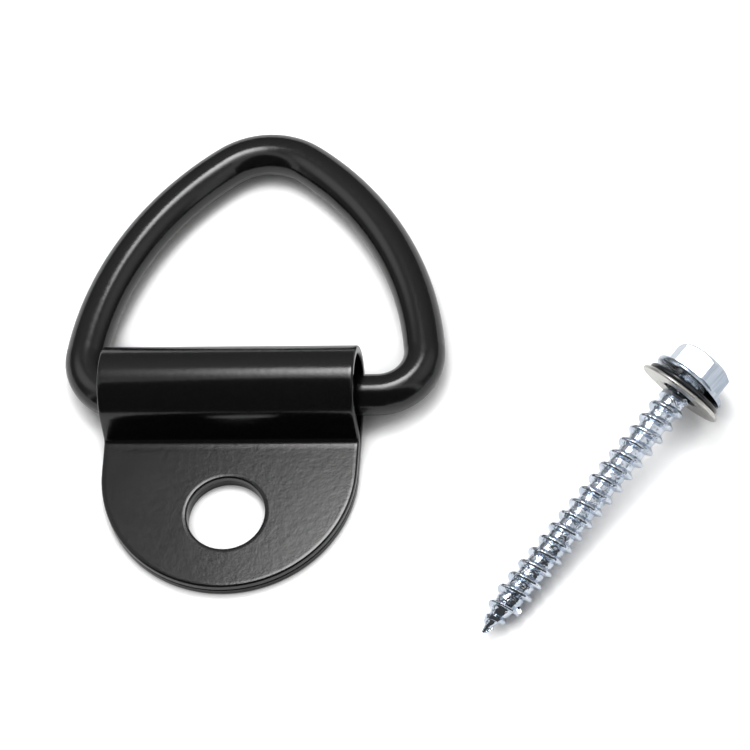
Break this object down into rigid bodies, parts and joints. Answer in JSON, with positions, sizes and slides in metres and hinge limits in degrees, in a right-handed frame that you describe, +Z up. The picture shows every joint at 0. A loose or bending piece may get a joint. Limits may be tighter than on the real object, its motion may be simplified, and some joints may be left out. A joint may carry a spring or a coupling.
{
  "type": "bolt on d ring tie down",
  "caption": "Black folded-strap bracket with a bolt hole holding a loose rounded-triangle lashing ring, with its zinc hexagon-head mounting screw, seal and washer beside it.",
  "frame": {"origin": "centre of the bolt hole on the underside of the bracket", "axes": "+X along the folded sleeve, +Y from the tab towards the ring's apex, +Z up from the mounting surface"},
  "size_m": [0.1201, 0.0996, 0.0159],
  "materials": {
    "black_coat": "satin black powder coat",
    "bright_zinc": "bright bluish zinc plating",
    "black_rubber": "smooth black rubber",
    "washer_steel": "plain bright steel, faintly warm"
  },
  "bodies": {
    "bracket": {"bracket": "black_coat", "screw": "bright_zinc", "seal": "black_rubber", "washer": "washer_steel"},
    "ring": {"ring": "black_coat"}
  },
  "joints": [
    {"name": "ring_swing", "type": "hinge", "parent": "bracket", "child": "ring", "pos_m": [0.0035, 0.0224, 0.00705], "axis": [1, 0, 0], "range_deg": [0, 185]}
  ]
}
